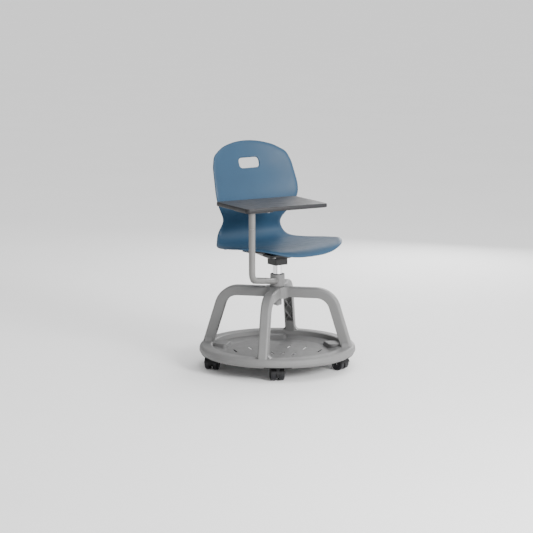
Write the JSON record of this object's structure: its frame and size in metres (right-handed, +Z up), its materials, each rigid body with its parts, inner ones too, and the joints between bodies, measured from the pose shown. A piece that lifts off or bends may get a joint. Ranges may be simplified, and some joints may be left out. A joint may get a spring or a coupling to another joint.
{
  "type": "student desk chair",
  "caption": "Height-adjustable swivel classroom chair with a one-piece shell, a swing-over writing tablet on a bent arm, and a round castor base holding a storage tray.",
  "frame": {"origin": "on the swivel axis of the seat column, at floor level", "axes": "+Z up, the sitter faces -Y, +X is on the sitter's left; the tablet arm stands on the -X side"},
  "size_m": [0.58, 0.5798, 0.8245],
  "materials": {
    "shell": "satin moulded polypropylene, blue",
    "frame_gray": "moulded glass-filled nylon, mid gray",
    "arm_silver": "silver-gray powder coat",
    "tablet": "dark gray laminate with a lipped edge",
    "black_cast": "black powder coat",
    "black_plastic": "black nylon",
    "castor_tyre": "near-black moulded wheel",
    "chrome": "bright plated",
    "steel": "bright steel"
  },
  "bodies": {
    "base": {"base_frame": "frame_gray", "storage_tray": "frame_gray", "tray_panel": "frame_gray", "tray_screws": "steel", "column_tube": "frame_gray", "column_bush": "black_plastic", "thrust_bearing": "steel", "castor_1_insert": "black_plastic", "castor_2_insert": "black_plastic", "castor_3_insert": "black_plastic", "castor_4_insert": "black_plastic", "castor_5_insert": "black_plastic"},
    "tablet_arm": {"arm_collar": "frame_gray", "collar_bush_lower": "black_plastic", "collar_bush_upper": "black_plastic", "arm_tube_lower": "arm_silver", "swivel_pin": "steel"},
    "tablet": {"arm_tube_upper": "arm_silver", "tablet_bracket": "black_cast", "tablet_top": "tablet", "tablet_screws": "steel"},
    "lift_rod": {"piston_rod": "steel", "retaining_clip": "steel"},
    "seat": {"lift_cylinder": "chrome", "lift_socket": "black_cast", "seat_mount": "black_cast", "seat_shell": "shell", "shell_screws": "steel", "lever_pin": "steel"},
    "lever": {"release_lever": "steel", "lever_grip": "black_plastic"},
    "valve": {"valve_button": "black_plastic"},
    "castor_1": {"castor_1_body": "black_plastic", "castor_1_stem": "steel", "castor_1_axle": "steel"},
    "castor_1_left": {"castor_1_wheel_left": "castor_tyre"},
    "castor_1_right": {"castor_1_wheel_right": "castor_tyre"},
    "castor_2": {"castor_2_body": "black_plastic", "castor_2_stem": "steel", "castor_2_axle": "steel"},
    "castor_2_left": {"castor_2_wheel_left": "castor_tyre"},
    "castor_2_right": {"castor_2_wheel_right": "castor_tyre"},
    "castor_3": {"castor_3_body": "black_plastic", "castor_3_stem": "steel", "castor_3_axle": "steel"},
    "castor_3_left": {"castor_3_wheel_left": "castor_tyre"},
    "castor_3_right": {"castor_3_wheel_right": "castor_tyre"},
    "castor_4": {"castor_4_body": "black_plastic", "castor_4_stem": "steel", "castor_4_axle": "steel"},
    "castor_4_left": {"castor_4_wheel_left": "castor_tyre"},
    "castor_4_right": {"castor_4_wheel_right": "castor_tyre"},
    "castor_5": {"castor_5_body": "black_plastic", "castor_5_stem": "steel", "castor_5_axle": "steel"},
    "castor_5_left": {"castor_5_wheel_left": "castor_tyre"},
    "castor_5_right": {"castor_5_wheel_right": "castor_tyre"}
  },
  "joints": [
    {"name": "arm_turn", "type": "hinge", "parent": "base", "child": "tablet_arm", "pos_m": [0, 0, 0.32], "axis": [0, 0, 1], "continuous": true},
    {"name": "tablet_swing", "type": "hinge", "parent": "tablet_arm", "child": "tablet", "pos_m": [-0.25, -0.189, 0.557], "axis": [0, 0, 1], "range_deg": [-100, 6.3]},
    {"name": "seat_turn", "type": "hinge", "parent": "tablet_arm", "child": "lift_rod", "pos_m": [0, 0, 0.25], "axis": [0, 0, 1], "range_deg": [-100, 24]},
    {"name": "seat_height", "type": "slide", "parent": "lift_rod", "child": "seat", "axis": [0, 0, 1], "range_m": [0, 0.05]},
    {"name": "lever_lift", "type": "hinge", "parent": "seat", "child": "lever", "pos_m": [0.04, 0, 0.415], "axis": [0, -1, 0], "range_deg": [0, 6], "stiffness_Nm_per_rad": 0.4, "springref_deg": -8.59},
    {"name": "valve_press", "type": "slide", "parent": "seat", "child": "valve", "axis": [0, 0, -1], "range_m": [0, 0.0042]},
    {"name": "castor_1_swivel", "type": "hinge", "parent": "base", "child": "castor_1", "pos_m": [-0.15106, -0.20792, 0.05], "axis": [0, 0, 1], "continuous": true},
    {"name": "castor_1_left_roll", "type": "hinge", "parent": "castor_1", "child": "castor_1_left", "pos_m": [-0.14308, -0.19291, 0.024], "axis": [0.8829, -0.4695, 0], "continuous": true},
    {"name": "castor_1_right_roll", "type": "hinge", "parent": "castor_1", "child": "castor_1_right", "pos_m": [-0.14308, -0.19291, 0.024], "axis": [0.8829, -0.4695, 0], "continuous": true},
    {"name": "castor_2_swivel", "type": "hinge", "parent": "base", "child": "castor_2", "pos_m": [0.15106, -0.20792, 0.05], "axis": [0, 0, 1], "continuous": true},
    {"name": "castor_2_left_roll", "type": "hinge", "parent": "castor_2", "child": "castor_2_left", "pos_m": [0.14609, -0.19166, 0.024], "axis": [0.9563, 0.2924, 0], "continuous": true},
    {"name": "castor_2_right_roll", "type": "hinge", "parent": "castor_2", "child": "castor_2_right", "pos_m": [0.14609, -0.19166, 0.024], "axis": [0.9563, 0.2924, 0], "continuous": true},
    {"name": "castor_3_swivel", "type": "hinge", "parent": "base", "child": "castor_3", "pos_m": [0.24442, 0.07942, 0.05], "axis": [0, 0, 1], "continuous": true},
    {"name": "castor_3_left_roll", "type": "hinge", "parent": "castor_3", "child": "castor_3_left", "pos_m": [0.23261, 0.06719, 0.024], "axis": [-0.7193, 0.6947, 0], "continuous": true},
    {"name": "castor_3_right_roll", "type": "hinge", "parent": "castor_3", "child": "castor_3_right", "pos_m": [0.23261, 0.06719, 0.024], "axis": [-0.7193, 0.6947, 0], "continuous": true},
    {"name": "castor_4_swivel", "type": "hinge", "parent": "base", "child": "castor_4", "pos_m": [0, 0.257, 0.05], "axis": [0, 0, 1], "continuous": true},
    {"name": "castor_4_left_roll", "type": "hinge", "parent": "castor_4", "child": "castor_4_left", "pos_m": [-0.00691, 0.24147, 0.024], "axis": [-0.9135, 0.4067, 0], "continuous": true},
    {"name": "castor_4_right_roll", "type": "hinge", "parent": "castor_4", "child": "castor_4_right", "pos_m": [-0.00691, 0.24147, 0.024], "axis": [-0.9135, 0.4067, 0], "continuous": true},
    {"name": "castor_5_swivel", "type": "hinge", "parent": "base", "child": "castor_5", "pos_m": [-0.24442, 0.07942, 0.05], "axis": [0, 0, 1], "continuous": true},
    {"name": "castor_5_left_roll", "type": "hinge", "parent": "castor_5", "child": "castor_5_left", "pos_m": [-0.23121, 0.09012, 0.024], "axis": [0.6293, -0.7771, 0], "continuous": true},
    {"name": "castor_5_right_roll", "type": "hinge", "parent": "castor_5", "child": "castor_5_right", "pos_m": [-0.23121, 0.09012, 0.024], "axis": [0.6293, -0.7771, 0], "continuous": true}
  ],
  "couplings": [
    {"joint": "valve_press", "follows": "lever_lift", "m_per_rad": 0.04}
  ]
}
